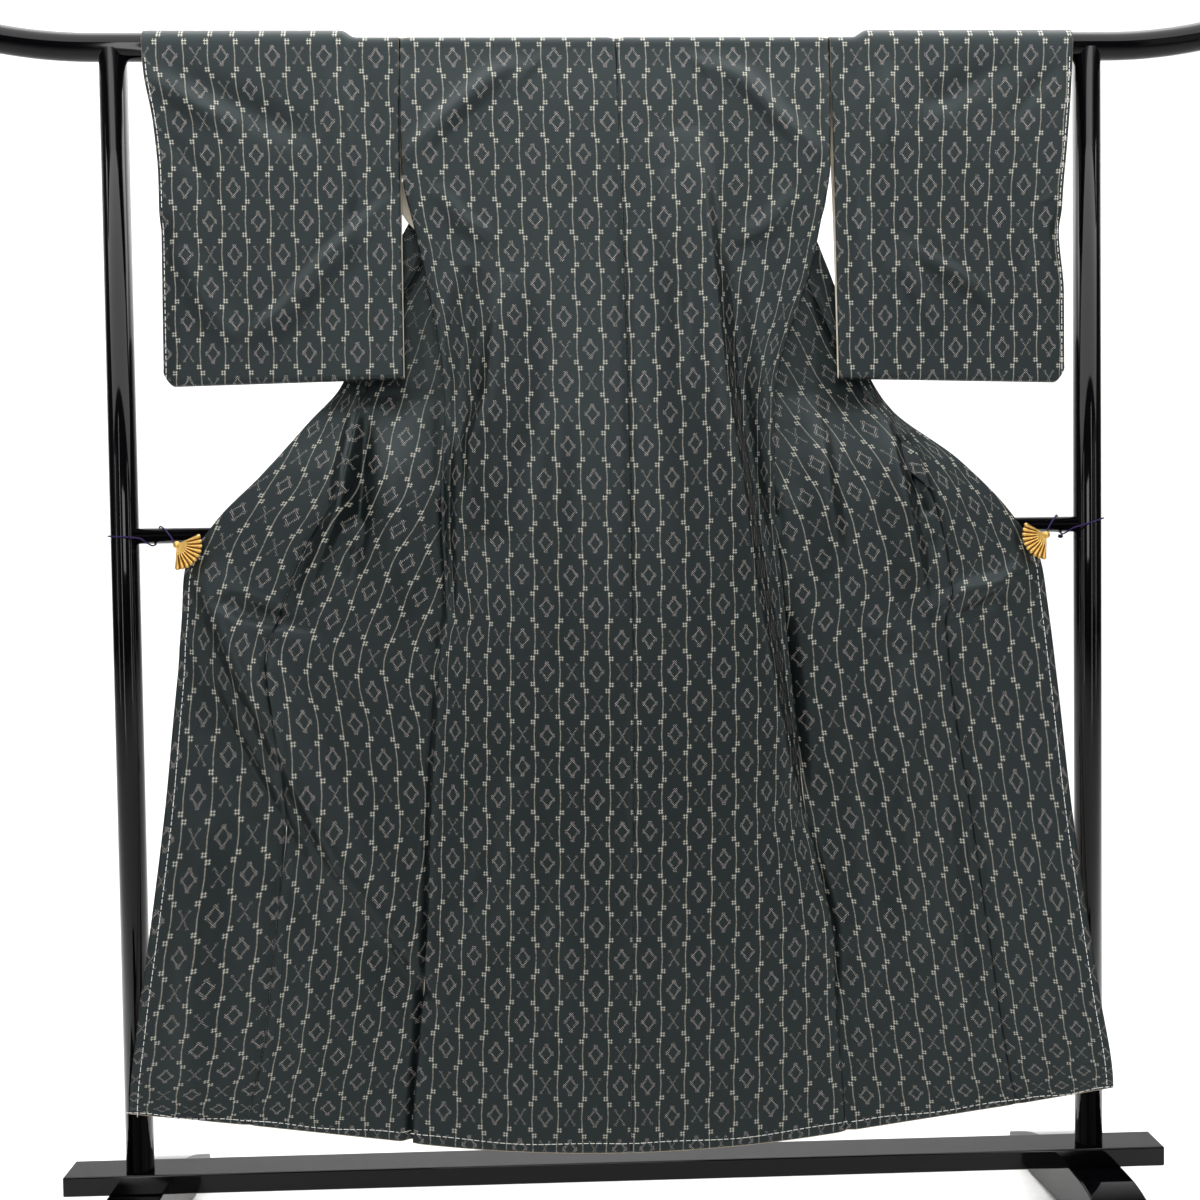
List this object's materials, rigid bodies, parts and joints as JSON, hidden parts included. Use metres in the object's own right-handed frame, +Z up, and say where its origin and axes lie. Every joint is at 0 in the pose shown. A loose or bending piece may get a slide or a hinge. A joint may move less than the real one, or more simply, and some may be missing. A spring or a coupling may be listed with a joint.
{
  "type": "kimono on a display stand",
  "caption": "Lined dark silk kimono with a woven grid and diamond pattern, hung open-backed on a black lacquered stand with fan clips.",
  "frame": {"origin": "centre of the footprint, on the floor under the two feet", "axes": "+X to the right of someone facing the kimono's back, +Y from them through the kimono to its fronts, +Z up"},
  "size_m": [1.8618, 0.46, 1.73],
  "materials": {
    "silk": "soft sheen",
    "lacquer": "gloss",
    "gilt": "polished",
    "cord": "matte"
  },
  "bodies": {
    "root": {"body_back_left": "silk", "body_back_right": "silk", "body_front_left": "silk", "body_front_right": "silk", "okumi_left": "silk", "okumi_right": "silk", "sleeve_left": "silk", "sleeve_right": "silk", "collar": "silk", "rail_end_left": "lacquer", "rail_end_right": "lacquer", "rail_middle": "lacquer", "post_left": "lacquer", "post_right": "lacquer", "crossbar": "lacquer", "base_beam": "lacquer", "foot_left": "lacquer", "foot_right": "lacquer", "fan_clip_left": "gilt", "fan_clip_right": "gilt", "cord_left": "cord", "cord_right": "cord", "cord_knot_left": "cord", "cord_knot_right": "cord"}
  },
  "joints": []
}
